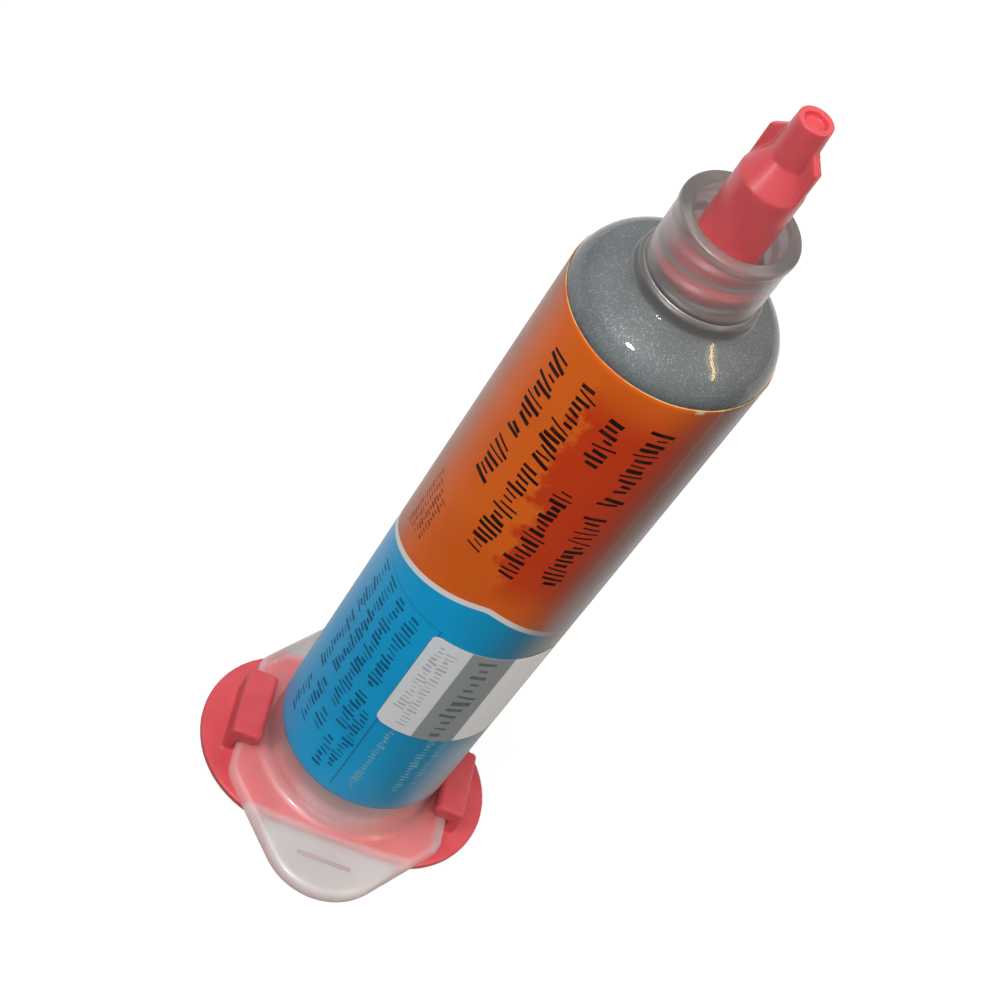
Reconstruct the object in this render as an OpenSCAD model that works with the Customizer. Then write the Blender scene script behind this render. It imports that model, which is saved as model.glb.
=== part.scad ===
// Solder paste syringe: a moulded dispensing barrel filled with paste, with a printed
// wrap label, a date sticker, a wiper piston, a push-on end cap and a luer tip cap.
// Millimetres. The barrel's axis is Z, the tip points up, and the end cap's flat back
// lies on Z = 0. The flange's two ears point along X and the end cap's wings along Y.

/* [Barrel] */
// Inside diameter of the barrel
bore_d = 15.9; // [13:0.05:18]
// Thickness of the barrel's wall
tube_wall = 1.17; // [0.8:0.01:1.6]
// Length of the straight tube, from the flange's back to the start of the shoulder
tube_length = 74.3; // [72:0.1:110]
// Radius of the shoulder's round edge
shoulder_r = 3.7; // [2.5:0.1:3.9]
// Slope of the shoulder inside its round edge, in degrees
shoulder_slope = 24.6; // [10:0.2:35]
// Fillet between the flange and the tube
root_fillet = 1.2; // [0.2:0.1:1.3]
// Width of the bevel that leads into the open back
mouth_bevel = 0.4; // [0.1:0.1:0.8]

/* [Flange] */
// Thickness of the finger flange
flange_t = 2; // [1.4:0.1:3]
// Width of the flange over its two ears
flange_span = 33.6; // [31:0.2:44]
// Width of the flange over its two flats
flange_flats = 23; // [23:0.2:30]
// Radius of each ear's round end
ear_r = 7; // [4:0.1:9]
// Radius of the corners between the flats and the ears
flat_corner_r = 3; // [1:0.1:6]
// Length of each flat
flat_length = 11.7; // [8:0.1:13]
// Distance of the grip rib on each ear from the axis
grip_rib_x = 13.2; // [11.5:0.05:14.5]
// Length of the grip rib
grip_rib_length = 5.2; // [2:0.1:8]
// Width of the grip rib
grip_rib_w = 0.45; // [0.2:0.05:1]
// Height of the grip rib above the flange
grip_rib_h = 0.2; // [0.1:0.05:0.5]

/* [Luer end] */
// Diameter of the low boss that carries the collar
boss_d = 10.7; // [10.2:0.1:10.8]
// Height of the boss above the shoulder
boss_h = 1.4; // [0.4:0.1:2.5]
// Outside diameter of the threaded collar
collar_od = 9.96; // [9.6:0.02:10.1]
// Inside diameter of the threaded collar, without its thread
collar_bore_d = 7.9; // [7.7:0.02:8.6]
// Depth of the collar's inside
collar_depth = 6.6; // [5:0.1:8]
// Height of the collar above the boss
collar_h = 6.3; // [5:0.1:9]
// Bevel at the collar's inner rim
collar_bevel = 0.25; // [0.1:0.05:0.4]
// Diameter of the male nozzle at its tip
nozzle_tip_d = 3.94; // [3.5:0.01:4.2]
// Rise of the nozzle's tip above the collar's rim
nozzle_proud = 1; // [0:0.1:2.5]
// Taper of the nozzle, as growth of diameter per length
luer_taper = 0.06; // [0.05:0.005:0.07]
// Diameter of the bore through the nozzle
nozzle_bore_d = 2.2; // [1.5:0.1:2.8]

/* [Label and sticker] */
// Thickness of the label's film
label_t = 0.08; // [0.05:0.01:0.2]
// Reach of the label's upper edge past the start of the shoulder
label_reach = 0.4; // [-4:0.1:0.5]
// Gap between the flange's root fillet and the label
label_gap = 4; // [1:0.1:20]
// Thickness of the date sticker
sticker_t = 0.1; // [0.05:0.01:0.2]
// Height of the date sticker
sticker_h = 15.2; // [8:0.1:22]
// Width of the date sticker around the barrel, in degrees
sticker_angle = 76.8; // [30:0.2:100]
// Distance of the sticker's lower edge from the label's lower edge
sticker_rise = 14.4; // [2:0.1:30]
// Direction of the sticker's middle around the barrel, in degrees
sticker_dir = 19; // [-90:0.5:90]
// Radius of the sticker's corners
sticker_corner_r = 0.8; // [0.3:0.1:3]

/* [Paste and piston] */
// Length of the paste column behind the shoulder
paste_length = 46.8; // [10:0.1:56]
// Length of the piston's wall behind its nose
piston_wall_h = 9.4; // [6:0.1:14]
// Height of the piston's domed nose
nose_h = 2.6; // [1:0.1:4]
// Wall thickness of the piston
piston_wall = 1.1; // [0.7:0.1:1.6]
// Height of each wiping lip
lip_h = 1.8; // [0.8:0.1:3]
// Depth of the relief between the two wiping lips
lip_relief = 0.35; // [0.1:0.05:0.8]

/* [End cap] */
// Thickness of the end cap's plate
plate_t = 1.3; // [1.1:0.1:3]
// Width of the plate across its wings, along the ears
plate_w = 19.6; // [18:0.2:22]
// Length of the plate over its two wings
plate_length = 30.8; // [28.6:0.1:38]
// Radius of the plate's rounded back edge
plate_edge_r = 0.8; // [0.2:0.1:1]
// Depth of the plug in the barrel
plug_h = 3.5; // [2:0.1:8]
// Wall thickness of the plug
plug_wall = 1; // [0.6:0.1:1.6]
// Length of each hook along the flat
hook_length = 7.8; // [4:0.1:10]
// Thickness of the lip over the flange
hook_lip_t = 1.8; // [1.3:0.1:3]
// Thickness of the hook's outer wall
hook_wall = 1; // [0.7:0.1:1.6]
// Bevel that leads the flange in under the lip
hook_bevel = 0.7; // [0.5:0.1:0.9]

/* [Tip cap] */
// Outside diameter of the tip cap's body
cap_body_d = 5.5; // [5.1:0.02:5.8]
// Length of the round body above the collar's floor
cap_body_h = 10.8; // [9.5:0.1:16]
// Height of the cone between the body and the stub
cap_cone_h = 2.5; // [1:0.1:3]
// Outside diameter of the stub at its end
stub_d = 2.9; // [2.4:0.05:3.4]
// Growth of the stub's diameter towards the cone
stub_draft = 0.4; // [0:0.05:0.8]
// Length of the stub above the cone
stub_h = 3.9; // [3.3:0.1:7]
// Diameter of the hollow in the stub's end
stub_hollow_d = 1.9; // [0.8:0.05:2]
// Depth of the hollow in the stub's end
stub_hollow_h = 0.6; // [0.3:0.1:2.5]
// Thickness of the two turning fins
fin_t = 0.75; // [0.5:0.05:1.4]
// Height of the fins' outer edge above the body
fin_h = 3.3; // [1.5:0.1:3.5]
// Direction of the fins around the axis, in degrees
fin_dir = 49; // [0:1:180]
// Outside diameter of the ring round the tip cap's foot
skirt_d = 6.6; // [6:0.02:6.8]
// Height of that ring up to its slope
skirt_h = 1.8; // [1:0.1:3]
// Diameter over the two locking lugs
lug_span = 7; // [6.8:0.02:7.5]
// Width of each locking lug
lug_w = 2.6; // [1.5:0.1:4]
// Height of the locking lugs
lug_h = 1.6; // [0.6:0.1:2.4]
// Depth of the socket above the nozzle's tip
socket_over = 0.8; // [0.3:0.1:2]

/* [Clearances] */
// Radial clearance of the piston's lips in the bore
piston_gap = 0.05; // [0.02:0.01:0.1]
// Radial clearance of the end cap's plug in the bore
plug_gap = 0.05; // [0.02:0.01:0.1]
// Radial clearance of the tip cap's socket on the nozzle
socket_gap = 0.04; // [0.01:0.01:0.1]
// Gap between the hooks and the flange
hook_gap = 0.1; // [0.05:0.05:0.4]
// Gap between the lips' inner edge and the tube
lip_gap = 0.38; // [0.3:0.01:1]
// Gap between the tip cap and the collar's floor
cap_lift = 0.6; // [0.1:0.1:1.2]
// Film between the paste and the plastic around it
paste_gap = 0.02; // [0.01:0.01:0.1]

/* [Hidden] */
$fn = 96;
hair = 0.01;
over = 1;

bore_r = bore_d / 2;
barrel_r = bore_r + tube_wall;
flange_top = plate_t + flange_t;
shoulder_z = plate_t + tube_length;
shoulder_top = shoulder_z + slope_top(barrel_r, shoulder_r, boss_d / 2);
collar_base = shoulder_top + boss_h;
rim_z = collar_base + collar_h;
collar_floor = rim_z - collar_depth;
nozzle_top = rim_z + nozzle_proud;
nozzle_tip_r = nozzle_tip_d / 2;
nozzle_base_r = nozzle_tip_r + (nozzle_top - collar_floor) * luer_taper / 2;

label_top = shoulder_z + label_reach;
label_base = flange_top + root_fillet + label_gap;
label_h = label_top - label_base;
label_r = barrel_r + label_t;

paste_base = shoulder_z - paste_length;
piston_r = bore_r - piston_gap;
nose_base = paste_base - nose_h;
piston_base = nose_base - piston_wall_h;

hook_in = barrel_r + lip_gap;
hook_slot_out = flange_flats / 2 + hook_gap;
hook_out = hook_slot_out + hook_wall;
hook_top = flange_top + hook_gap + hook_lip_t;

cap_base = collar_floor + cap_lift;
cap_body_top = cap_base + cap_body_h;
cap_cone_top = cap_body_top + cap_cone_h;
cap_top = cap_cone_top + stub_h;
cap_body_r = cap_body_d / 2;
stub_r = stub_d / 2;
stub_base_r = stub_r + stub_draft / 2;
fin_top = cap_body_top + fin_h;
socket_top = nozzle_top + socket_over;

// Direction of the outward normal of the straight line that touches two circles.
function touch_dir(c1, r1, c2, r2) =
    let (d = c2 - c1) atan2(d.y, d.x) + acos((r1 - r2) / norm(d));
function on_circle(c, r, a) = [c.x + r * cos(a), c.y + r * sin(a)];

// Outline of the flange: two round ears, two flats and straight flanks that touch both.
module flange_outline() {
    ear = [flange_span / 2 - ear_r, 0];
    corner = [flat_length / 2, flange_flats / 2 - flat_corner_r];
    a = touch_dir(corner, flat_corner_r, ear, ear_r);
    flank = [on_circle(ear, ear_r, a), on_circle(corner, flat_corner_r, a)];
    quarter = [flank[0], flank[1], [corner.x, flange_flats / 2]];
    polygon([
        for (i = [0:2]) quarter[i],
        for (i = [2:-1:0]) [-quarter[i].x, quarter[i].y],
        for (i = [0:2]) [-quarter[i].x, -quarter[i].y],
        for (i = [2:-1:0]) [quarter[i].x, -quarter[i].y]
    ]);
    for (sx = [-1, 1]) {
        translate([sx * ear.x, 0]) circle(ear_r);
        for (sy = [-1, 1]) translate([sx * corner.x, sy * corner.y]) circle(flat_corner_r);
    }
}

// Height at which a shoulder with a round edge of radius r reaches the radius end_r.
function slope_top(out, r, end_r) =
    r * cos(shoulder_slope)
    + (out - r + r * sin(shoulder_slope) - end_r) * tan(shoulder_slope);

// Half section of a shoulder on a tube of radius out: a round edge, then a straight slope
// up to the radius end_r.
module shoulder_section(out, r, end_r) {
    c = out - r;
    turn = 90 - shoulder_slope;
    touch = [c + r * cos(turn), r * sin(turn)];
    top = slope_top(out, r, end_r);
    translate([0, shoulder_z]) {
        polygon([[0, 0], [c, 0], touch, [end_r, top], [0, top]]);
        intersection() {
            translate([c, 0]) circle(r);
            polygon([
                [c, 0], [c + 2 * r, 0],
                for (a = [turn / 2, turn]) [c + 2 * r * cos(a), 2 * r * sin(a)]
            ]);
        }
    }
}

// Space inside the tube and shoulder, up to the nozzle's bore.
module cavity_section(gap) {
    translate([0, paste_base]) square([bore_r - gap, shoulder_z - paste_base]);
    shoulder_section(bore_r - gap, shoulder_r - tube_wall - gap, boss_d / 2 - tube_wall);
}

module barrel_section() {
    difference() {
        union() {
            translate([0, plate_t]) square([barrel_r, tube_length]);
            shoulder_section(barrel_r, shoulder_r, boss_d / 2);
            translate([0, shoulder_top]) square([boss_d / 2, boss_h]);
            translate([0, collar_base]) square([collar_od / 2, collar_h]);
            translate([barrel_r, flange_top]) difference() {
                square(root_fillet);
                translate([root_fillet, root_fillet]) circle(root_fillet);
            }
        }
        translate([0, plate_t - over]) square([bore_r, paste_base - plate_t + over + hair]);
        polygon([
            [0, plate_t - hair], [bore_r + mouth_bevel + hair, plate_t - hair],
            [bore_r, plate_t + mouth_bevel], [0, plate_t + mouth_bevel]
        ]);
        cavity_section(0);
        translate([0, collar_floor]) square([collar_bore_d / 2, collar_depth + hair]);
        polygon([
            [0, rim_z - collar_bevel], [collar_bore_d / 2, rim_z - collar_bevel],
            [collar_bore_d / 2 + collar_bevel + hair, rim_z + hair], [0, rim_z + hair]
        ]);
        square([nozzle_bore_d / 2, rim_z]);
    }
    polygon([
        [nozzle_bore_d / 2, collar_floor - hair], [nozzle_base_r, collar_floor - hair],
        [nozzle_tip_r, nozzle_top], [nozzle_bore_d / 2, nozzle_top]
    ]);
}

module grip_ribs() {
    for (side = [-1, 1])
        translate([side * grip_rib_x - grip_rib_w / 2, -grip_rib_length / 2, flange_top - hair])
            cube([grip_rib_w, grip_rib_length, grip_rib_h + hair]);
}

// Clear moulding: tube, sloping shoulder, luer end and finger flange in one piece.
module barrel() {
    color([0.86, 0.87, 0.86, 0.6]) {
        rotate_extrude() barrel_section();
        difference() {
            translate([0, 0, plate_t]) linear_extrude(flange_t) flange_outline();
            translate([0, 0, plate_t - over])
                cylinder(r = bore_r + tube_wall / 2, h = flange_t + 2 * over);
        }
        difference() {
            translate([0, 0, plate_t]) cylinder(r = barrel_r, h = flange_t);
            translate([0, 0, plate_t - over])
                cylinder(r = bore_r + mouth_bevel, h = flange_t + 2 * over);
        }
        grip_ribs();
    }
}

// Printed film all around the tube.
module label() {
    color([0.05, 0.5, 0.72]) translate([0, 0, label_base]) difference() {
        cylinder(r = label_r, h = label_h);
        translate([0, 0, -over]) cylinder(r = barrel_r, h = label_h + 2 * over);
    }
}

// Paper sticker with round corners, curved onto the label.
module sticker() {
    half_chord = (label_r + sticker_t) * sin(sticker_angle / 2);
    corner = [half_chord - sticker_corner_r, sticker_h / 2 - sticker_corner_r];
    color([0.86, 0.86, 0.87])
    translate([0, 0, label_base + sticker_rise + sticker_h / 2]) intersection() {
        difference() {
            cylinder(r = label_r + sticker_t, h = sticker_h, center = true);
            cylinder(r = label_r, h = sticker_h + 2, center = true);
        }
        rotate([0, 0, sticker_dir]) rotate([90, 0, 90]) linear_extrude(2 * barrel_r) {
            square([2 * half_chord, 2 * corner.y], center = true);
            square([2 * corner.x, sticker_h], center = true);
            for (sx = [-1, 1], sy = [-1, 1])
                translate([sx * corner.x, sy * corner.y]) circle(sticker_corner_r);
        }
    }
}

// Section of the piston's nose, a shallow dome with a flat middle.
module nose_section(extra) {
    polygon([
        [0, nose_base], [piston_r, nose_base],
        [piston_r * 0.62, nose_base + nose_h * 0.75 + extra],
        [piston_r * 0.3, nose_base + nose_h + extra],
        [0, nose_base + nose_h + extra]
    ]);
}

// The paste fills the barrel from the piston's nose to the end of the nozzle's bore.
module solder_paste() {
    color([0.42, 0.44, 0.44]) rotate_extrude() difference() {
        union() {
            translate([0, nose_base + paste_gap])
                square([bore_r - paste_gap, paste_base - nose_base]);
            cavity_section(paste_gap);
            square([nozzle_bore_d / 2 - paste_gap, nozzle_top]);
        }
        nose_section(paste_gap);
        square([bore_r, nose_base + paste_gap]);
    }
}

// Wiper piston: a cup, open behind, with a domed nose and two wiping lips.
module piston() {
    color([0.93, 0.93, 0.9]) rotate_extrude() difference() {
        union() {
            translate([0, piston_base]) square([piston_r, nose_base - piston_base]);
            nose_section(0);
        }
        translate([piston_r - lip_relief, piston_base + lip_h])
            square([lip_relief + hair, nose_base - piston_base - 2 * lip_h]);
        translate([0, piston_base - hair])
            square([piston_r - lip_relief - piston_wall, nose_base - piston_base - piston_wall]);
    }
}

// Section through the plate's rounded back edge, drawn outwards from the line x = 0.
module plate_half_section(reach) {
    difference() {
        square([reach, plate_t]);
        translate([reach - plate_edge_r, -hair]) difference() {
            square(plate_edge_r + hair);
            translate([0, plate_edge_r + hair]) circle(plate_edge_r);
        }
    }
}

// Plate with two half-round wings and straight sides, its back edge rounded all the way.
module plate() {
    reach = plate_w / 2;
    straight = plate_length - plate_w;
    for (side = [-1, 1]) {
        translate([0, side * straight / 2, 0]) rotate([0, 0, side < 0 ? 180 : 0])
            rotate_extrude(angle = 180) plate_half_section(reach);
        rotate([0, 0, side < 0 ? 180 : 0]) translate([0, straight / 2, 0]) rotate([90, 0, 0])
            linear_extrude(straight) plate_half_section(reach);
    }
}

// Section of one hook: the wall outside the flange and the lip over it.
module hook_section() {
    polygon([
        [hook_slot_out, plate_t - hair], [hook_out, plate_t - hair],
        [hook_out, hook_top - hook_bevel / 2], [hook_out - hook_bevel / 2, hook_top],
        [hook_in + hook_bevel / 2, hook_top], [hook_in, hook_top - hook_bevel / 2],
        [hook_in, flange_top + hook_gap + hook_bevel],
        [hook_in + hook_bevel, flange_top + hook_gap],
        [hook_slot_out, flange_top + hook_gap]
    ]);
}

// Push-on cap: plate with two finger wings, a ring plug and two hooks over the flats.
module end_cap() {
    plug_r = bore_r - plug_gap;
    color([0.82, 0.32, 0.34]) {
        plate();
        rotate_extrude() polygon([
            [plug_r - plug_wall, plate_t - hair], [plug_r, plate_t - hair],
            [plug_r, plate_t + plug_h - plug_wall / 2],
            [plug_r - plug_wall / 2, plate_t + plug_h],
            [plug_r - plug_wall, plate_t + plug_h]
        ]);
        for (side = [0, 180]) rotate([0, 0, side]) rotate([90, 0, 90])
            linear_extrude(hook_length, center = true) hook_section();
    }
}

// Two flat fins beside the stub, with their outer corners cut at 45 degrees.
module fins() {
    chamfer_top = fin_top + cap_body_r - stub_r;
    rotate([0, 0, fin_dir]) rotate([90, 0, 0])
        linear_extrude(fin_t, center = true) polygon([
            [-cap_body_r, cap_body_top - fin_t], [cap_body_r, cap_body_top - fin_t],
            [cap_body_r, fin_top], [stub_r, chamfer_top],
            [-stub_r, chamfer_top], [-cap_body_r, fin_top]
        ]);
}

// Tip cap: a socket on the nozzle, a foot ring with two lugs, a cone, a dished stub, two fins.
module tip_cap() {
    socket_top_r = nozzle_tip_r - socket_over * luer_taper / 2 + socket_gap;
    socket_base_r = nozzle_tip_r + (nozzle_top - cap_base) * luer_taper / 2 + socket_gap;
    color([0.82, 0.32, 0.34]) difference() {
        union() {
            translate([0, 0, cap_base]) cylinder(r = cap_body_r, h = cap_body_h);
            translate([0, 0, cap_body_top - hair])
                cylinder(r1 = cap_body_r, r2 = stub_base_r, h = cap_cone_h + hair);
            translate([0, 0, cap_cone_top]) cylinder(r1 = stub_base_r, r2 = stub_r, h = stub_h);
            intersection() {
                fins();
                translate([0, 0, cap_body_top - fin_t]) cylinder(r = cap_body_r, h = cap_top);
            }
            translate([0, 0, cap_base]) cylinder(d = skirt_d, h = skirt_h);
            translate([0, 0, cap_base + skirt_h - hair])
                cylinder(d1 = skirt_d, d2 = cap_body_d, h = (skirt_d - cap_body_d) / 2 + hair);
            intersection() {
                translate([0, 0, cap_base]) cylinder(d = lug_span, h = lug_h);
                rotate([0, 0, fin_dir]) translate([-lug_span, -lug_w / 2, cap_base])
                    cube([2 * lug_span, lug_w, lug_h]);
            }
        }
        translate([0, 0, cap_base - hair])
            cylinder(r1 = socket_base_r, r2 = socket_top_r, h = socket_top - cap_base + hair);
        translate([0, 0, cap_top - stub_hollow_h])
            cylinder(d = stub_hollow_d, h = stub_hollow_h + over);
    }
}

end_cap();
barrel();
label();
sticker();
solder_paste();
piston();
tip_cap();
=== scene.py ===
# %% [markdown]
# Solder paste syringe, dressed around its CAD frame.
# The frame gives every rigid piece at its real size, in metres, with the barrel's axis on Z.
# This file adds what the frame leaves plain: soft moulded edges, the luer thread, the printed
# label, the paste and every finish. It is written as a lesson, one step after another.

# %% Open the frame
import math
import bpy
import bmesh
import numpy as np
from mathutils import Matrix, Vector


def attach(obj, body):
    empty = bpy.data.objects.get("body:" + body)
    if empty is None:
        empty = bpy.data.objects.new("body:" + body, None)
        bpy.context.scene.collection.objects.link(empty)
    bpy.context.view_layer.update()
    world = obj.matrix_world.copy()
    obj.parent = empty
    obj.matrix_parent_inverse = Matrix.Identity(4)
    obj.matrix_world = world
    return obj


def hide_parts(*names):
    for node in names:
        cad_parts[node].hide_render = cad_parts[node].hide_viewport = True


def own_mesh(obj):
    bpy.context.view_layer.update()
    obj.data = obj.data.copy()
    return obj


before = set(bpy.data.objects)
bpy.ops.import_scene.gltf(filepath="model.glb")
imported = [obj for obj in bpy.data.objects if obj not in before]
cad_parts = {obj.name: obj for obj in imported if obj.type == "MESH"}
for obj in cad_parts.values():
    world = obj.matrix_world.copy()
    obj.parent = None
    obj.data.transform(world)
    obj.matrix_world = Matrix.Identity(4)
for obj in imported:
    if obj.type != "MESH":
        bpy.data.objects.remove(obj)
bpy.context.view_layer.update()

mm = 0.001
print("frame:", sorted(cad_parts))

# %% [markdown]
# The camera stands above the tip and looks down along the barrel, rolled so that the barrel
# runs from the lower left to the upper right. Its three directions are written as plain
# vectors, because a matrix of directions is easier to trust than three turning angles.

# %% Camera
def look_from(name, place, right, down, forward, lens):
    data = bpy.data.cameras.new(name)
    data.lens, data.sensor_width, data.clip_start = lens, 36, 0.01
    camera = bpy.data.objects.new(name, data)
    bpy.context.scene.collection.objects.link(camera)
    turn = Matrix((right, [-x for x in down], [-x for x in forward])).transposed()
    camera.matrix_world = Matrix.Translation(place) @ turn.to_4x4()
    bpy.context.scene.camera = camera
    return camera


camera = look_from("photo_camera", (0.12673, -0.04240, 0.19343),
                   right=(-0.16765, 0.90434, 0.39248), down=(0.74718, 0.37627, -0.54783),
                   forward=(-0.64313, 0.20142, -0.73881), lens=81.75)
print("camera at", [round(v, 3) for v in camera.location])

# %% [markdown]
# Shader graphs are easier to read when each node is one line. These few helpers add a node,
# do a sum, and make a smooth step or a soft-edged band, which is all that a printed pattern
# needs. A value may be a number or another node's output.

# %% Helpers for shader graphs
def add(tree, kind, settings=None, inputs=None):
    made = tree.nodes.new(kind)
    for key, value in (settings or {}).items():
        setattr(made, key, value)
    for key, value in (inputs or {}).items():
        if isinstance(value, bpy.types.NodeSocket):
            tree.links.new(value, made.inputs[key])
        else:
            made.inputs[key].default_value = value
    return made


def calc(tree, operation, *values):
    return add(tree, "ShaderNodeMath", {"operation": operation}, dict(enumerate(values))).outputs[0]


def plus(tree, first, second):
    return calc(tree, "ADD", first, second)


def times(tree, first, *others):
    for other in others:
        first = calc(tree, "MULTIPLY", first, other)
    return first


def rest_of(tree, value):
    """What is left of 1 when value is taken away."""
    return calc(tree, "SUBTRACT", 1.0, value)


def rise(tree, value, low, high):
    """0 below low, 1 above high, smooth between them."""
    step = add(tree, "ShaderNodeMapRange", {"interpolation_type": "SMOOTHSTEP"},
               {"Value": value, "From Min": low, "From Max": high})
    return step.outputs[0]


def band(tree, value, low, high, soft):
    """1 between low and high, with soft edges."""
    up = rise(tree, value, low - soft, low + soft)
    down = rise(tree, value, high - soft, high + soft)
    return times(tree, up, rest_of(tree, down))


def tint(tree, amount, under, over):
    """The colour over laid on the colour under, as strongly as amount says."""
    return add(tree, "ShaderNodeMix", {"data_type": "RGBA"},
               {0: amount, 6: under, 7: over}).outputs[2]


def noise(tree, place, scale, detail=2.0, rough=0.5):
    made = add(tree, "ShaderNodeTexNoise", {},
               {"Vector": place, "Scale": scale, "Detail": detail, "Roughness": rough})
    return made.outputs[0]


def paint(red, green, blue):
    """A colour read off a screen, 0 to 255, as the linear values that a shader works with."""
    def linear(c):
        c = c / 255
        return c / 12.92 if c <= 0.04045 else ((c + 0.055) / 1.055) ** 2.4
    return (linear(red), linear(green), linear(blue), 1.0)


print("coral in linear light:", [round(v, 3) for v in paint(212, 86, 91)])

# %% [markdown]
# Two effects are shared by several finishes, so each is a node group. The first unrolls the
# barrel: from a point it works out the angle round the axis in degrees, and the height and the
# distance from the axis in millimetres, which is how a label printer thinks of the surface.

# %% Group: place on the barrel
def new_group(name, inputs, outputs):
    group = bpy.data.node_groups.new(name, "ShaderNodeTree")
    for direction, sockets in (("INPUT", inputs), ("OUTPUT", outputs)):
        for socket, kind, start in sockets:
            made = group.interface.new_socket(socket, in_out=direction, socket_type=kind)
            if start is not None:
                made.default_value = start
    return group, group.nodes.new("NodeGroupInput"), group.nodes.new("NodeGroupOutput")


unroll, given, result = new_group(
    "Place on the barrel", [("Position", "NodeSocketVector", None)],
    [("Angle", "NodeSocketFloat", None), ("Height", "NodeSocketFloat", None),
     ("Radius", "NodeSocketFloat", None)])
axes = add(unroll, "ShaderNodeSeparateXYZ", {}, {0: given.outputs["Position"]})
angle = calc(unroll, "ARCTAN2", axes.outputs[1], axes.outputs[0])
unroll.links.new(times(unroll, angle, 180 / math.pi), result.inputs["Angle"])
unroll.links.new(times(unroll, axes.outputs[2], 1000.0), result.inputs["Height"])
squares = [calc(unroll, "POWER", axes.outputs[k], 2.0) for k in (0, 1)]
from_axis = calc(unroll, "SQRT", plus(unroll, *squares))
unroll.links.new(times(unroll, from_axis, 1000.0), result.inputs["Radius"])
print("group:", unroll.name)

# %% [markdown]
# The second group is the skin of a moulded plastic piece. Real mouldings are never one flat
# colour: the pigment flows in faint clouds, the skin has a very fine grain from the mould, and
# handling leaves it duller in patches. The group puts out a colour, a roughness and a height.

# %% Group: moulded skin
skin, given, result = new_group(
    "Moulded skin",
    [("Position", "NodeSocketVector", None), ("Colour", "NodeSocketColor", (0.8, 0.8, 0.8, 1)),
     ("Cloud Colour", "NodeSocketColor", (0.7, 0.7, 0.7, 1)),
     ("Cloud Size", "NodeSocketFloat", 4.0), ("Grain Size", "NodeSocketFloat", 0.25),
     ("Roughness", "NodeSocketFloat", 0.4), ("Handling", "NodeSocketFloat", 0.1)],
    [("Colour", "NodeSocketColor", None), ("Roughness", "NodeSocketFloat", None),
     ("Height", "NodeSocketFloat", None)])
place = given.outputs["Position"]
cloud_scale = calc(skin, "DIVIDE", 1000.0, given.outputs["Cloud Size"])
grain_scale = calc(skin, "DIVIDE", 1000.0, given.outputs["Grain Size"])
clouds = rise(skin, noise(skin, place, cloud_scale, 3.0), 0.35, 0.7)
skin.links.new(tint(skin, clouds, given.outputs["Colour"], given.outputs["Cloud Colour"]),
               result.inputs["Colour"])
patches = noise(skin, place, times(skin, cloud_scale, 1.7), 4.0)
swing = times(skin, calc(skin, "SUBTRACT", patches, 0.5), given.outputs["Handling"])
skin.links.new(plus(skin, given.outputs["Roughness"], swing), result.inputs["Roughness"])
skin.links.new(noise(skin, place, grain_scale, 3.0, 0.6), result.inputs["Height"])
print("group:", skin.name)

# %% [markdown]
# Coral polyethylene of the two caps. It is slightly waxy, so light enters the skin and
# comes out a little way off, which warms the thin edges. A small subsurface share
# does that, and a broad soft gloss comes from a middling roughness.

# %% Finish: coral plastic
SKIN_DEPTH = 0.00002


def new_finish(name):
    finish = bpy.data.materials.new(name)
    finish.use_nodes = True
    tree = finish.node_tree
    shader = tree.nodes["Principled BSDF"]
    place = add(tree, "ShaderNodeTexCoord").outputs["Object"]
    return finish, tree, shader, place


def bump(tree, shader, height, depth, strength=0.5):
    made = add(tree, "ShaderNodeBump", {},
               {"Height": height, "Distance": depth, "Strength": strength})
    tree.links.new(made.outputs[0], shader.inputs["Normal"])


def moulded(name, colour, cloud, cloud_size, grain, rough, handling, depth):
    finish, tree, shader, place = new_finish(name)
    made = add(tree, "ShaderNodeGroup", {"node_tree": skin}, {
        "Position": place, "Colour": colour, "Cloud Colour": cloud, "Cloud Size": cloud_size,
        "Grain Size": grain, "Roughness": rough, "Handling": handling})
    tree.links.new(made.outputs["Colour"], shader.inputs["Base Color"])
    tree.links.new(made.outputs["Roughness"], shader.inputs["Roughness"])
    if depth:
        bump(tree, shader, made.outputs["Height"], depth)
    return finish, tree, shader


coral, tree, shader = moulded(
    "coral_plastic", paint(212, 86, 91), paint(202, 75, 82), cloud_size=5.0, grain=0.3,
    rough=0.34, handling=0.16, depth=SKIN_DEPTH)
shader.inputs["Subsurface Weight"].default_value = 0.35
shader.inputs["Subsurface Radius"].default_value = (1.0, 0.25, 0.2)
shader.inputs["Subsurface Scale"].default_value = 0.0012
shader.inputs["IOR"].default_value = 1.5
print("finish:", coral.name)

# %% [markdown]
# The barrel is natural polypropylene. Most of its light passes through with a rough
# refraction, and a small white share that doesn't pass gives the milk. One recipe makes six
# kinds: polished where the wall is thin and clear, milky in the thick flange, a duller one for
# the flange's rim, a darker one for its grip ribs as painted shade, frosted in the collar, and a
# paler pinker one on the thread that stands in as a painted highlight on the ridges. Light
# that only asks for shade passes straight through, less what the wall keeps back, so that
# what lies inside is lit as it would be through a thin clear wall.

# %% Finish: clear plastic
CLEAR_DEPTH = 0.000002


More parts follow.
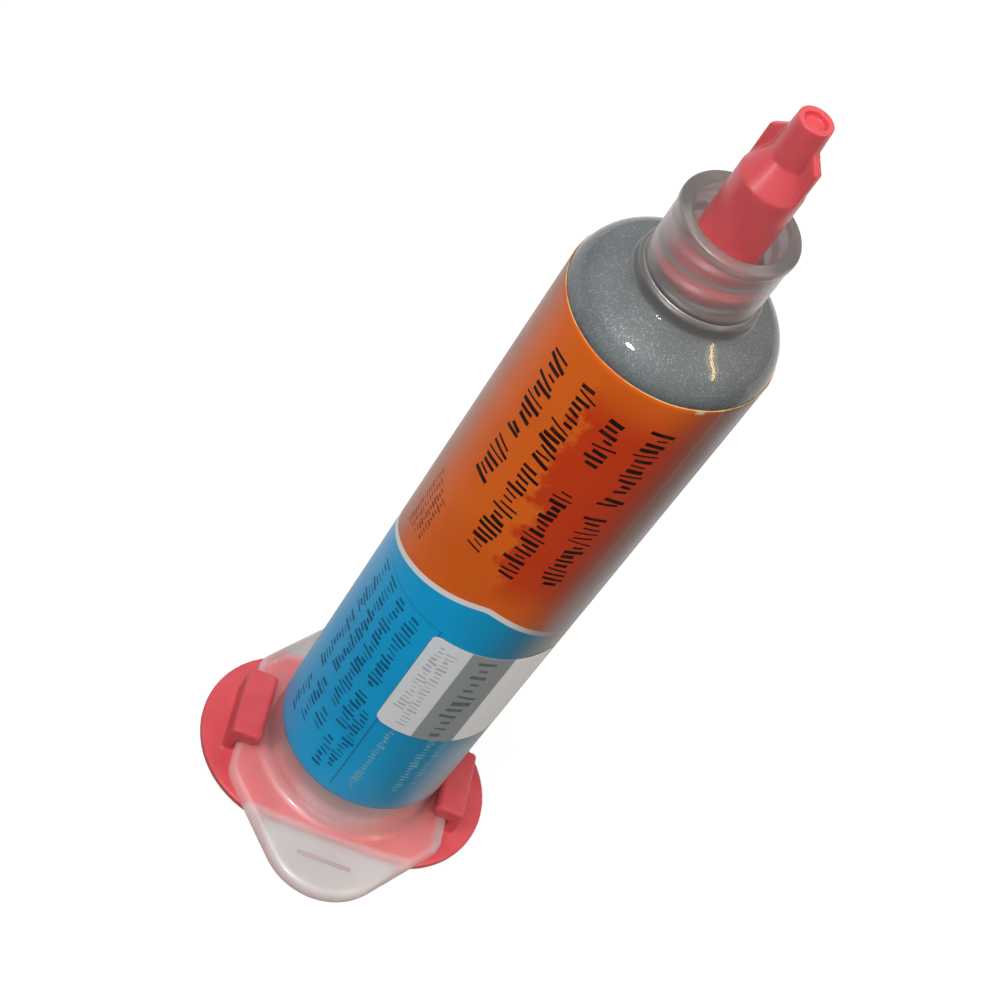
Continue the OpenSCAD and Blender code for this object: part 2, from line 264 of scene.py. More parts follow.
def clear_plastic(name, colour, cloud, rough, through, shade_left, gloss, depth=CLEAR_DEPTH):
    finish, tree, shader = moulded(name, colour, cloud, cloud_size=6.0, grain=0.5,
                                   rough=rough, handling=0.08, depth=depth)
    shader.inputs["Transmission Weight"].default_value = through
    shader.inputs["IOR"].default_value = 1.48
    shader.inputs["Coat Weight"].default_value = gloss
    shader.inputs["Coat Roughness"].default_value = 0.12
    shade = add(tree, "ShaderNodeBsdfTransparent", {},
                {"Color": (shade_left, shade_left, shade_left, 1)})
    path = add(tree, "ShaderNodeLightPath")
    mixed = add(tree, "ShaderNodeMixShader", {},
                {0: path.outputs["Is Shadow Ray"], 1: shader.outputs[0], 2: shade.outputs[0]})
    tree.links.new(mixed.outputs[0], tree.nodes["Material Output"].inputs["Surface"])
    print("finish:", name)
    return finish


polished = clear_plastic("polished_plastic", paint(249, 250, 249), paint(245, 246, 245),
                         rough=0.05, through=0.97, shade_left=0.95, gloss=0.0, depth=0.0)
milky = clear_plastic("milky_plastic", paint(218, 213, 212), paint(211, 205, 204),
                      rough=0.38, through=0.86, shade_left=0.81, gloss=0.5)
rim_plastic = clear_plastic("rim_plastic", paint(218, 213, 213), paint(210, 205, 205),
                            rough=0.3, through=0.7, shade_left=0.85, gloss=0.6)
# A paler, pinker copy for the thread's ridges: a painted highlight.
thread_highlight_plastic = clear_plastic("thread_highlight_plastic", paint(208, 190, 190), paint(202, 184, 184),
                               rough=0.3, through=0.84, shade_left=0.85, gloss=0.0)
# A darker, less clear copy for the grip ribs: painted shade for their dark line.
rib_shade_plastic = clear_plastic("rib_shade_plastic", paint(196, 176, 181), paint(186, 166, 172),
                            rough=0.4, through=0.3, shade_left=0.8, gloss=0.2)
frosted = clear_plastic("frosted_plastic", paint(182, 174, 172), paint(174, 166, 164),
                        rough=0.33, through=0.87, shade_left=0.85, gloss=0.3)

# %% [markdown]
# Solder paste is a grey cream of tin alloy balls, each a few hundredths of a millimetre
# across, in flux. From arm's length it is a dull metal grey with fine sparkle. A cell pattern
# gives each grain its own brightness, and only the few brightest grains glint. Just above the
# label the paste is painted paler, a painted light that lifts the shade there.

# %% Finish: solder paste
GRAINS = 12000.0
paste, tree, shader, place = new_finish("solder_paste_grey")
cells = add(tree, "ShaderNodeTexVoronoi", {}, {"Vector": place, "Scale": GRAINS})
grain = add(tree, "ShaderNodeSeparateColor", {}, {0: cells.outputs["Color"]})
clouds = noise(tree, place, 260.0, 4.0, 0.6)
grey = tint(tree, rise(tree, clouds, 0.35, 0.68), paint(64, 68, 70), paint(74, 78, 79))
where = add(tree, "ShaderNodeGroup", {"node_tree": unroll}, {"Position": place})
height = where.outputs["Height"]
# A band just above the label is painted paler, a painted light that lifts the shade there.
painted_light_band = calc(tree, "SUBTRACT", rise(tree, height, 75.2, 75.7), rise(tree, height, 76.05, 76.85))
grey = tint(tree, painted_light_band, grey, paint(82, 88, 90))
glint = rise(tree, grain.outputs[0], 0.84, 0.99)
dark = rise(tree, grain.outputs[1], 0.8, 0.98)
grey = tint(tree, times(tree, dark, 0.45), grey, paint(46, 50, 52))
grey = tint(tree, times(tree, glint, 0.42), grey, paint(150, 160, 170))
tree.links.new(grey, shader.inputs["Base Color"])
tree.links.new(times(tree, glint, 0.3), shader.inputs["Metallic"])
tree.links.new(calc(tree, "SUBTRACT", 0.55, times(tree, glint, 0.25)), shader.inputs["Roughness"])
bump(tree, shader, grain.outputs[2], depth=0.00003, strength=0.6)
print("finish:", paste.name)

# %% [markdown]
# The wrap label is printed film: an orange field toward the tip, a blue field behind it, and a
# pale line between them that rises to a low peak. The colours are laid as fields over the
# unrolled barrel, one over the other, and each step below adds one thing that the photo shows:
# a painted shade round the left side, a red stain, thin rules, a painted shade on the right
# side, the clear lap where the grey paste shows under a painted sheen, and a worn cut edge.
# The film has a low gloss and no coat.

# %% Finish: label film
PEAK_ANGLE, PEAK_HEIGHT, PEAK_SLOPE, PEAK_ROUND = -3.8, 44.6, 0.06, 9.0
LINE_HALF, LINE_SOFT = 0.32, 0.08

label_finish, tree, shader, place = new_finish("label_print")
where = add(tree, "ShaderNodeGroup", {"node_tree": unroll}, {"Position": place})
turned, height = where.outputs["Angle"], where.outputs["Height"]
wavy = noise(tree, place, 120.0, 2.0)

# The border falls away on both sides of its peak and stays level far round the back.
from_peak = calc(tree, "ABSOLUTE", plus(tree, turned, -PEAK_ANGLE))
from_peak = calc(tree, "SQRT", plus(tree, times(tree, from_peak, from_peak), PEAK_ROUND))
from_peak = calc(tree, "SMOOTH_MIN", from_peak, 120.0, 30.0)
border = calc(tree, "SUBTRACT", PEAK_HEIGHT, times(tree, from_peak, PEAK_SLOPE))
above = calc(tree, "SUBTRACT", height, border)

# Orange field, painted darker round its left side as painted shade, with a red stain whose left
# edge is ragged.
orange = tint(tree, rise(tree, wavy, 0.35, 0.7), paint(230, 104, 24), paint(222, 96, 18))
left = times(tree, turned, -1.0)
painted_left_shade = times(tree, rise(tree, left, 62.0, 96.0), rest_of(tree, rise(tree, left, 98.0, 176.0)))
orange = tint(tree, painted_left_shade, orange, paint(160, 84, 34))
edge = plus(tree, turned, times(tree, noise(tree, place, 420.0, 4.0, 0.65), 46.0))
edge = plus(tree, edge, calc(tree, "SUBTRACT", times(tree, height, 0.85), 63.4))
stain = times(tree, rise(tree, edge, -12.0, -4.0), band(tree, height, 47.5, 73.0, 3.0),
              band(tree, turned, -60.0, 70.0, 20.0))
orange = tint(tree, times(tree, stain, 0.75), orange, paint(196, 34, 8))

# Blue field, painted darker on its right side as painted shade, then the pale line and the orange
# field laid over it by height.
blue = tint(tree, rise(tree, wavy, 0.3, 0.7), paint(0, 168, 226), paint(0, 160, 217))
blue = tint(tree, band(tree, turned, 2.5, 90.0, 22.5), blue, paint(4, 138, 184))
line_outer = LINE_HALF + LINE_SOFT
field = tint(tree, rise(tree, above, -line_outer, -LINE_HALF), blue, paint(234, 228, 224))
field = tint(tree, rise(tree, above, LINE_HALF, line_outer), field, orange)

# Thin printed rules along and across the blue field.
rule = times(tree, band(tree, turned, -17.9, -17.1, 0.15), band(tree, height, 9.8, 38.7, 0.1))
top_rule = times(tree, band(tree, height, 38.55, 38.7, 0.03),
                 band(tree, turned, -76.0, -17.2, 4.0))
rule = calc(tree, "MAXIMUM", rule, times(tree, top_rule, 0.6))
field = tint(tree, times(tree, rule, 0.75), field, paint(16, 70, 110))

# The right side is painted darker as painted shade, and the clear lap runs along it; its pale grey
# and faint streaks are partly painted sheen.
under = tint(tree, rise(tree, above, -0.4, 0.4), paint(64, 104, 122), paint(120, 60, 44))
# Painted shade: the right side of the label is darkened here.
shade = times(tree, band(tree, turned, 19.0, 76.0, 13.0), rise(tree, height, 22.0, 30.0))
field = tint(tree, times(tree, shade, 0.5), field, under)
lap = band(tree, turned, 35.0, 70.0, 14.0)
# The lap's colour is partly the grey paste seen through clear film and partly a painted sheen.
lap_and_painted_sheen = tint(tree, rise(tree, height, 40.0, 68.0), paint(152, 145, 142), paint(104, 82, 74))
lap_and_painted_sheen = tint(tree, rise(tree, height, 19.0, 25.0), paint(162, 188, 206), lap_and_painted_sheen)
across = add(tree, "ShaderNodeCombineXYZ", {}, {0: turned, 1: times(tree, height, 0.02)})
# Faint pale streaks along the lap are a painted sheen.
painted_sheen_streaks = rise(tree, noise(tree, across.outputs[0], 0.34, 1.0), 0.5, 0.72)
lap_and_painted_sheen = tint(tree, times(tree, painted_sheen_streaks, 0.25), lap_and_painted_sheen, paint(206, 200, 196))
field = tint(tree, times(tree, lap, 0.95), field, lap_and_painted_sheen)

# The upper cut edge is paler, and torn in one place.
torn = times(tree, rise(tree, height, 75.4, 75.7), band(tree, turned, 20.5, 25.0, 0.8))
nicks = rise(tree, noise(tree, place, 700.0), 0.42, 0.56)
cut_edge_and_painted_shade = times(tree, rise(tree, height, 75.88, 75.93), plus(tree, 0.3, times(tree, nicks, 0.6)))
field = tint(tree, times(tree, torn, 0.8), field, paint(190, 198, 178))
field = tint(tree, cut_edge_and_painted_shade, field, paint(200, 176, 124))
tree.links.new(field, shader.inputs["Base Color"])

smudge = noise(tree, place, 300.0, 4.0, 0.6)
tree.links.new(plus(tree, 0.24, times(tree, smudge, 0.16)), shader.inputs["Roughness"])
shader.inputs["Specular IOR Level"].default_value = 0.22
bump(tree, shader, noise(tree, place, 90.0, 2.0), depth=0.0001, strength=0.25)
print("finish:", label_finish.name)

# %% [markdown]
# The date sticker is matt paper with a printed grey band. It reads the same unrolled place.
# Its right side is painted whiter, a painted light. Its thin sides lie closer to the axis than
# its face, so the radius tells them apart and paints them darker as painted shade.

# %% Finish: sticker paper
sticker_finish, tree, shader, place = new_finish("sticker_paper")
where = add(tree, "ShaderNodeGroup", {"node_tree": unroll}, {"Position": place})
fibre = noise(tree, place, 1800.0, 4.0, 0.7)
paper = tint(tree, fibre, paint(228, 230, 233), paint(235, 236, 238))
# The right side of the sticker is painted whiter as painted light.
paper = tint(tree, rise(tree, where.outputs["Angle"], 24.0, 34.0), paper, paint(255, 255, 255))
grey_band = band(tree, where.outputs["Angle"], 4.2, 29.5, 0.25)
# The cut sides, nearer the axis than the face, are painted darker as painted shade.
cut_edge_and_painted_shade = rest_of(tree, rise(tree, where.outputs["Radius"], 9.265, 9.286))
paper = tint(tree, grey_band, paper, paint(150, 155, 158))
paper = tint(tree, cut_edge_and_painted_shade, paper, paint(104, 112, 118))
tree.links.new(paper, shader.inputs["Base Color"])
shader.inputs["Roughness"].default_value = 0.5
bump(tree, shader, fibre, depth=0.00002, strength=0.4)
print("finish:", sticker_finish.name)

# %% [markdown]
# The piston is a plain off-white moulding. The inks are flat, with a very low gloss, and worn
# in small patches to a colour that lies nearer to what is under them.

# %% Finishes: piston and inks
piston_finish, tree, shader = moulded(
    "piston_plastic", paint(236, 235, 228), paint(226, 225, 216), cloud_size=4.0, grain=0.4,
    rough=0.42, handling=0.1, depth=SKIN_DEPTH)
shader.inputs["Subsurface Weight"].default_value = 0.2
shader.inputs["Subsurface Scale"].default_value = 0.001


def ink(name, colour, worn):
    finish, tree, shader, place = new_finish(name)
    patches = rise(tree, noise(tree, place, 900.0, 3.0, 0.6), 0.45, 0.75)
    tree.links.new(tint(tree, patches, colour, worn), shader.inputs["Base Color"])
    shader.inputs["Roughness"].default_value = 0.4
    shader.inputs["Specular IOR Level"].default_value = 0.08
    return finish


black_ink = ink("black_ink", paint(34, 18, 16), paint(70, 34, 20))
dark_ink = ink("dark_ink", paint(20, 92, 128), paint(6, 116, 158))
brown_ink = ink("brown_ink", paint(120, 62, 34), paint(150, 74, 32))
pale_ink = ink("pale_ink", paint(120, 176, 200), paint(60, 150, 188))
grey_ink = ink("grey_ink", paint(188, 190, 193), paint(202, 204, 206))
band_ink = ink("band_ink", paint(104, 108, 112), paint(122, 126, 129))
print("inks:", [i.name for i in (black_ink, dark_ink, brown_ink, pale_ink, grey_ink, band_ink)])

# %% [markdown]
# The pieces made here have to fit the CAD pieces that stay. So the sizes that they share are
# read off the frame, and the others are worked out from a few lengths of the barrel, all in
# millimetres. What touches takes its place from the same names, and so it stays seated.

# %% Main sizes
def measure(node_name):
    """Nearest and farthest from the axis, lowest and highest of a CAD piece, to 0.01 mm."""
    points = np.array([v.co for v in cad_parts[node_name].data.vertices]) / mm
    from_axis = np.hypot(points[:, 0], points[:, 1])
    found = (from_axis.min(), from_axis.max(), points[:, 2].min(), points[:, 2].max())
    return [round(float(value), 2) for value in found]


TUBE_R, LABEL_R, LABEL_LOW, LABEL_TOP = measure("label")
STICKER_R = measure("sticker")[1]
FLANGE_LOW, NOZZLE_TOP = measure("barrel")[2:]
WALL, FLANGE_T, TUBE_LENGTH, NOZZLE_BORE = 1.17, 2.0, 74.3, 1.1
BORE_R, FLANGE_TOP = TUBE_R - WALL, FLANGE_LOW + FLANGE_T
SHOULDER_Z, SHOULDER_OUT, SHOULDER_SLOPE = FLANGE_LOW + TUBE_LENGTH, 3.7, 24.6
SHOULDER_R, SHOULDER_IN = TUBE_R - SHOULDER_OUT, SHOULDER_OUT - WALL
SHOULDER_TURN = math.radians(90 - SHOULDER_SLOPE)
BORE_END_R, BORE_END_Z = 4.18, 78.95
print("tube", 2 * TUBE_R, "mm across, label", LABEL_LOW, "to", LABEL_TOP, "mm, sticker at",
      STICKER_R, "mm, barrel", FLANGE_LOW, "to", NOZZLE_TOP, "mm")

# %% [markdown]
# Most pieces here go round one axis, some with an outline that isn't a circle. All of them can
# be built one way: as a stack of closed loops, each with the same number of points, joined by
# quads. An outline is the skin drawn round a few circles, like a band round pegs, and it can be
# moved inwards to round an edge. A circle is the case with one peg.

# %% Loops round the axis
POINTS = 256
angles = np.arange(POINTS) * 2 * math.pi / POINTS
directions = np.linspace(0, 2 * math.pi, 1440, endpoint=False)


def reach(pegs, inset):
    """Distance from the axis to the band round the pegs (x, y, radius), in mm, at each angle."""
    support = np.max([x * np.cos(directions) + y * np.sin(directions) + r
                      for x, y, r in pegs], axis=0) - inset
    lean = np.cos(angles[:, None] - directions[None, :])
    return np.where(lean > 0.05, support[None, :] / np.maximum(lean, 0.05), 1e9).min(axis=1)


def loop(distance, z):
    """One loop of points from a distance, or one for each angle, and a height, all in mm."""
    r = np.broadcast_to(np.asarray(distance, float), (POINTS,))
    z = np.broadcast_to(np.asarray(z, float), (POINTS,))
    return np.stack([r * np.cos(angles), r * np.sin(angles), z], axis=1) * mm


def round_line(corners, steps=5):
    """Loops through (r, z, fillet) corners, with each corner rounded to its fillet."""
    line = []
    for i, (r, z, fillet) in enumerate(corners):
        here = np.array([r, z])
        if fillet <= 0 or i in (0, len(corners) - 1):
            line.append(here)
            continue
        back = np.array(corners[i - 1][:2]) - here
        on = np.array(corners[i + 1][:2]) - here
        back, on = back / np.linalg.norm(back), on / np.linalg.norm(on)
        half = math.acos(max(-1, min(1, float(back @ on)))) / 2
        if half > math.pi / 2 - 0.02:
            line.append(here)
            continue
        away = fillet / math.tan(half)
        centre = here + (back + on) / np.linalg.norm(back + on) * fillet / math.sin(half)
        a, b = here + back * away - centre, here + on * away - centre
        for t in np.linspace(0, 1, steps):
            mixed = a * (1 - t) + b * t
            line.append(centre + mixed / np.linalg.norm(mixed) * fillet)
    return [loop(r, z) for r, z in line]


def shoulder_arc(radius, start, end, steps):
    """Loops over the round shoulder, at a radius from its centre, between two turns."""
    return [loop(SHOULDER_R + radius * math.cos(t), SHOULDER_Z + radius * math.sin(t))
            for t in np.linspace(start, end, steps)]


def skin_of(name, loops, finish, body, ring=False, sharp=38):
    """A closed mesh through the loops. A loop of radius 0 becomes one pole."""
    mesh = bpy.data.meshes.new(name)
    build = bmesh.new()
    rows = []
    for points in loops:
        if np.abs(points[:, :2]).max() < 1e-7:
            rows.append([build.verts.new(points[0])] * POINTS)
        else:
            rows.append([build.verts.new(p) for p in points])
    pairs = list(zip(rows, rows[1:])) + ([(rows[-1], rows[0])] if ring else [])
    for low, high in pairs:
        for i in range(POINTS):
            j = (i + 1) % POINTS
            corners = [low[i], low[j], high[j], high[i]]
            unique = [c for k, c in enumerate(corners) if c not in corners[:k]]
            if len(unique) > 2:
                build.faces.new(unique)
    bmesh.ops.recalc_face_normals(build, faces=build.faces)
    build.to_mesh(mesh)
    build.free()
    return finish_piece(name, mesh, finish, body, sharp)


def finish_piece(name, mesh, finish, body, sharp=38):
    mesh.materials.clear()
    mesh.materials.append(finish)
    mesh.shade_smooth()
    if sharp:
        mesh.set_sharp_from_angle(angle=math.radians(sharp))
    piece = bpy.data.objects.new(name, mesh)
    bpy.context.scene.collection.objects.link(piece)
    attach(piece, body)
    print(name, len(mesh.polygons), "faces")
    return piece


print("a circle of", TUBE_R, "mm is", round(float(reach([(0, 0, TUBE_R)], 0).mean()), 3))

# %% [markdown]
# The barrel is one moulding: flange, tube, shoulder, boss, collar and nozzle. Its section is
# followed right round, from the mouth over the outside to the rim, down inside the threaded
# collar, over the nozzle and back down the bore, so the plastic has a true wall and
# bends light as the real one does. The two thread starts are part of the same skin: the
# collar's inner wall is pressed inwards where the two ridges climb round it. Each face then
# takes the kind of clear plastic that belongs to its place.

# %% Barrel
EARS = [(9.8, 0, 7), (-9.8, 0, 7),
        (5.85, 8.5, 3), (-5.85, 8.5, 3), (5.85, -8.5, 3), (-5.85, -8.5, 3)]
FLANGE_EDGE, ROOT_FILLET, MOUTH_BEVEL = 0.95, 1.2, 0.4
NOZZLE_PROUD, COLLAR_H, COLLAR_DEPTH = 1.0, 6.3, 6.6
BOSS_R, COLLAR_R, COLLAR_IN = 5.35, 4.98, 3.95
ROOT_R, COLLAR_LIP_R = TUBE_R + ROOT_FILLET, COLLAR_R + 0.14
COLLAR_TOP = NOZZLE_TOP - NOZZLE_PROUD
BOSS_TOP, NOZZLE_FOOT = COLLAR_TOP - COLLAR_H, COLLAR_TOP - COLLAR_DEPTH


def edge_loops(pegs, low, high, radius, steps):
    """The rim of a plate with both edges rounded, from its lower face to its upper face."""
    lower = [loop(reach(pegs, radius * (1 - math.sin(t))), low + radius * (1 - math.cos(t)))
             for t in np.linspace(0, math.pi / 2, steps)]
    upper = [loop(reach(pegs, radius * (1 - math.sin(t))), high - radius * (1 - math.cos(t)))
             for t in np.linspace(math.pi / 2, 0, steps)]
    return lower + upper


def thread_wall(top, bottom, radius, depth, width, lead, starts, layers):
    """Loops down a wall with ridges that climb round it, faded out at both ends."""
    made = []
    for z in np.linspace(top, bottom, layers):
        phase = (z / lead * starts - angles * starts / (2 * math.pi)) % 1.0
        away = np.abs(phase - 0.5) * lead / starts
        ridge = np.cos(np.clip(away / (width / 2), 0, 1) * math.pi / 2) ** 2
        fade = min(1, max(0, (top - z - 0.35) / 0.5)) * min(1, max(0, (z - bottom) / 0.4))
        made.append(loop(radius - depth * ridge * fade, z))
    return made


loops = [loop(BORE_R + MOUTH_BEVEL, FLANGE_LOW), loop(8.9, FLANGE_LOW)]
loops += edge_loops(EARS, FLANGE_LOW, FLANGE_TOP, FLANGE_EDGE, 9)
wide = reach(EARS, 1.0)
loops += [loop(wide * (1 - t) + ROOT_R * t, FLANGE_TOP) for t in (0.3, 0.6, 0.85, 1.0)]
loops += [loop(ROOT_R - ROOT_FILLET * math.sin(t), FLANGE_TOP + ROOT_FILLET * (1 - math.cos(t)))
          for t in np.linspace(0.1, math.pi / 2, 16)]
loops += [loop(TUBE_R, z) for z in (6, 8.6, *np.linspace(14, 74, 11))]
loops += shoulder_arc(SHOULDER_OUT, 0, SHOULDER_TURN, 34)
loops += round_line([
    (6.6, 79.13, 0), (BOSS_R, 79.70, 0.6), (BOSS_R, BOSS_TOP, 0.45), (COLLAR_R, BOSS_TOP, 0.12),
    (COLLAR_R, 86.55, 0.4), (COLLAR_LIP_R, 86.75, 0.2), (COLLAR_LIP_R, COLLAR_TOP, 0.25),
    (COLLAR_IN, COLLAR_TOP, 0.3), (COLLAR_IN, 87.0, 0)], 8)
loops += thread_wall(top=86.95, bottom=81.0, radius=COLLAR_IN, depth=0.42, width=2.1,
                     lead=5.0, starts=2, layers=72)
loops += round_line([
    (COLLAR_IN, 80.95, 0), (COLLAR_IN, NOZZLE_FOOT, 0.1), (2.2, NOZZLE_FOOT, 0.15),
    (1.97, NOZZLE_TOP, 0.12), (NOZZLE_BORE, NOZZLE_TOP, 0.1), (NOZZLE_BORE, BORE_END_Z, 0.2),
    (BORE_END_R, BORE_END_Z, 0.3), (6.35, 77.96, 0)])
loops += shoulder_arc(SHOULDER_IN, math.radians(62), 0, 9)
loops += [loop(BORE_R, z) for z in np.linspace(70, 2.2, 12)] + [loop(BORE_R, 1.75)]
clear_barrel = skin_of("clear_barrel", loops, polished, "syringe", ring=True)
for finish in (milky, frosted, rim_plastic, thread_highlight_plastic):
    clear_barrel.data.materials.append(finish)
POLISHED, MILKY, FROSTED, RIM, THREAD_HIGHLIGHT = range(5)
for face in clear_barrel.data.polygons:
    z, from_axis = face.center.z / mm, face.center.xy.length / mm
    if z < 3.29 and from_axis > 10 and face.normal.z < 0.9:
        face.material_index = RIM
    elif 81.2 < z < 86.6 and 3.4 < from_axis < 3.92:
        face.material_index = THREAD_HIGHLIGHT
    elif z < 8.6:
        face.material_index = MILKY
    else:
        face.material_index = FROSTED if z > 79.8 else POLISHED
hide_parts("barrel")

# %% [markdown]
# Each ear of the flange has one fine raised rib across it for grip. The rib is a small
# rounded bar that sits on the flange, in a darker finish that is painted shade.

# %% Grip ribs
RIB_X, RIB_Z, RIB_SIZE, RIB_EDGE = 13.2, FLANGE_TOP + 0.02, (0.42, 5.6, 0.2), 0.09


def rounded_bar(build, centre, size, radius):
    """A bar with all edges rounded, size in mm, added to a bmesh."""
    made = bmesh.ops.create_cube(build, size=1.0)
    for v in made["verts"]:
        v.co = Vector([v.co[k] * size[k] * mm + centre[k] * mm for k in range(3)])
    edges = {e for v in made["verts"] for e in v.link_edges}
    bmesh.ops.bevel(build, geom=list(edges), offset=radius * mm, segments=3, profile=0.5,
                    affect="EDGES")


build = bmesh.new()
for side in (-1, 1):
    rounded_bar(build, (side * RIB_X, 0, RIB_Z), RIB_SIZE, RIB_EDGE)
mesh = bpy.data.meshes.new("grip_ribs")
build.to_mesh(mesh)
build.free()
ribs = finish_piece("grip_ribs", mesh, rib_shade_plastic, "syringe")

# %% [markdown]
# The label is a thin film wound round the tube. Real film is never cut dead straight, so both
# its edges wander by a few hundredths of a millimetre. It stands for the CAD label.

# %% Label film
FILM_IN, FILM_BEND, EDGE_WANDER = TUBE_R + 0.002, LABEL_R - 0.02, 0.05


def wander(seed, size):
    """A slow wave round the barrel, the same on every run."""
    random = np.random.default_rng(seed)
    wave = sum(np.sin(angles * k + random.uniform(0, 6.28)) * random.uniform(0.3, 1) / k ** 0.6
               for k in (1, 2, 3, 5, 9, 16, 27))
    return wave / np.abs(wave).max() * size


top = LABEL_TOP - EDGE_WANDER + wander(3, EDGE_WANDER)
low = LABEL_LOW + EDGE_WANDER + wander(8, EDGE_WANDER)
loops = [loop(FILM_IN, low), loop(FILM_BEND, low - 0.01), loop(LABEL_R, low + 0.03)]
loops += [loop(LABEL_R, z) for z in np.linspace(9.4, 75.4, 36)]
loops += [loop(LABEL_R, top - 0.03), loop(FILM_BEND, top), loop(FILM_IN, top)]
label_film = skin_of("label_film", loops, label_finish, "syringe", ring=True, sharp=60)
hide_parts("label")

# %% [markdown]
# The paste is soft, so it replaces its CAD solid with two pieces. The head fills the shoulder
# and the nozzle and never moves. The column is the ring of paste that shows through the
# tube. The head is hollowed underneath where the piston's nose ends its stroke. Both pieces
# reach a hair's breadth into the plastic, because paste that wets a clear wall has no air gap
# to mirror the light.

# %% Paste
HAIR = 0.02
PASTE_R, PASTE_NOZZLE_R, PASTE_TOP = BORE_R + HAIR, NOZZLE_BORE + HAIR, NOZZLE_TOP - HAIR
PASTE_END_Z = BORE_END_Z + HAIR
COLUMN_IN, COLUMN_LOW, COLUMN_TOP = 7.2, 26.68, SHOULDER_Z - 0.05

loops = round_line([(0, 76.85, 0), (2.4, 76.85, 0.3), (5.1, 76.2, 0.3),
                    (6.1, COLUMN_TOP, 0.1), (PASTE_R, COLUMN_TOP, 0)])
loops += shoulder_arc(SHOULDER_IN + HAIR, 0.02, SHOULDER_TURN, 10)
loops += round_line([(6.2, 78.05, 0), (BORE_END_R, PASTE_END_Z, 0.3),
                     (PASTE_NOZZLE_R, PASTE_END_Z, 0.2), (PASTE_NOZZLE_R, PASTE_TOP, 0.1),
                     (0, PASTE_TOP, 0)])
paste_head = skin_of("paste_head", loops, paste, "syringe", sharp=50)
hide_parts("solder_paste")

loops = [loop(COLUMN_IN, COLUMN_LOW), loop(PASTE_R, COLUMN_LOW)]
loops += [loop(PASTE_R, z) for z in np.linspace(30, COLUMN_TOP, 12)]
loops += [loop(COLUMN_IN, COLUMN_TOP)]
loops += [loop(COLUMN_IN, z) for z in np.linspace(70, 30, 6)]
paste_column = skin_of("paste_column", loops, paste, "syringe", ring=True)
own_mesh(paste_column)

# %% [markdown]
# All the print marks repeat a short stroke along a line, so one Geometry Nodes tree makes
# them. It takes a mesh of guide lines drawn flat, places a stroke at each step with a little
# chance in its size, and then winds the result round the barrel. The marks are bars and not
# letters, because the part carries no words.

# %% Tree: strokes along guides
INK_THICKNESS = 0.000016


def strokes_tree():
    tree = bpy.data.node_groups.new("Strokes along guides", "GeometryNodeTree")
    sockets = [("Geometry", "NodeSocketGeometry", None), ("Spacing", "NodeSocketFloat", 0.0008),
               ("Stroke Width", "NodeSocketFloat", 0.0005),
               ("Stroke Height", "NodeSocketFloat", 0.002),
               ("Barrel Radius", "NodeSocketFloat", 0.0092), ("Seed", "NodeSocketInt", 1),
               ("Ink", "NodeSocketMaterial", None)]
    for name, kind, start in sockets:
        made = tree.interface.new_socket(name, in_out="INPUT", socket_type=kind)
        if start is not None:
            made.default_value = start
    tree.interface.new_socket("Geometry", in_out="OUTPUT", socket_type="NodeSocketGeometry")
    given = tree.nodes.new("NodeGroupInput").outputs
    lines = add(tree, "GeometryNodeMeshToCurve", {}, {0: given["Geometry"]})
    steps = add(tree, "GeometryNodeResampleCurve", {"mode": "LENGTH"},
                {"Curve": lines.outputs[0], "Length": given["Spacing"]})
    size = add(tree, "ShaderNodeCombineXYZ", {},
               {0: given["Stroke Width"], 1: given["Stroke Height"], 2: INK_THICKNESS})
    bar = add(tree, "GeometryNodeMeshCube", {},
              {"Size": size.outputs[0], "Vertices X": 2, "Vertices Y": 5, "Vertices Z": 2})

    # Each stroke has its own size, a small lean and a small shift to one side.
    chance = add(tree, "FunctionNodeRandomValue", {"data_type": "FLOAT_VECTOR"},
                 {0: (0.5, 0.35, 1.0), 1: (1.5, 1.0, 1.0), "Seed": given["Seed"]})
    lean = add(tree, "FunctionNodeRandomValue", {"data_type": "FLOAT_VECTOR"},
               {0: (0.0, 0.0, -0.16), 1: (0.0, 0.0, 0.16),
                "Seed": plus(tree, given["Seed"], 50.0)})
    jump = times(tree, given["Stroke Height"], 0.12)
    sway = add(tree, "FunctionNodeRandomValue", {"data_type": "FLOAT"},
               {2: times(tree, jump, -1.0), 3: jump, "Seed": plus(tree, given["Seed"], 90.0)})
    shift = add(tree, "ShaderNodeCombineXYZ", {}, {1: sway.outputs[1]})
    strewn = add(tree, "GeometryNodeSetPosition", {},
                 {"Geometry": steps.outputs[0], "Offset": shift.outputs[0]})
    placed = add(tree, "GeometryNodeInstanceOnPoints", {},
                 {"Points": strewn.outputs[0], "Instance": bar.outputs[0],
                  "Scale": chance.outputs[0], "Rotation": lean.outputs[0]})
    solid = add(tree, "GeometryNodeRealizeInstances", {}, {0: placed.outputs[0]})

    # Flat x runs up the barrel, flat y runs round it and flat z stands out from it.
    flat = add(tree, "ShaderNodeSeparateXYZ", {},
               {0: add(tree, "GeometryNodeInputPosition").outputs[0]})
    turn = calc(tree, "DIVIDE", flat.outputs[1], given["Barrel Radius"])
    out = plus(tree, flat.outputs[2], given["Barrel Radius"])
    wound = add(tree, "ShaderNodeCombineXYZ", {}, {
        0: times(tree, out, calc(tree, "COSINE", turn)),
        1: times(tree, out, calc(tree, "SINE", turn)), 2: flat.outputs[0]})
    wrap = add(tree, "GeometryNodeSetPosition", {},
               {"Geometry": solid.outputs[0], "Position": wound.outputs[0]})
    inked = add(tree, "GeometryNodeSetMaterial", {},
                {"Geometry": wrap.outputs[0], "Material": given["Ink"]})
    tree.links.new(inked.outputs[0], tree.nodes.new("NodeGroupOutput").inputs[0])
    return tree


strokes = strokes_tree()
print("tree:", strokes.name)

# %% [markdown]
# Each block of marks is a list of guide lines, and each guide line is one word: its angle on
# the barrel and the heights where it starts and ends. The blocks sit where the photo has its
# rows of print.

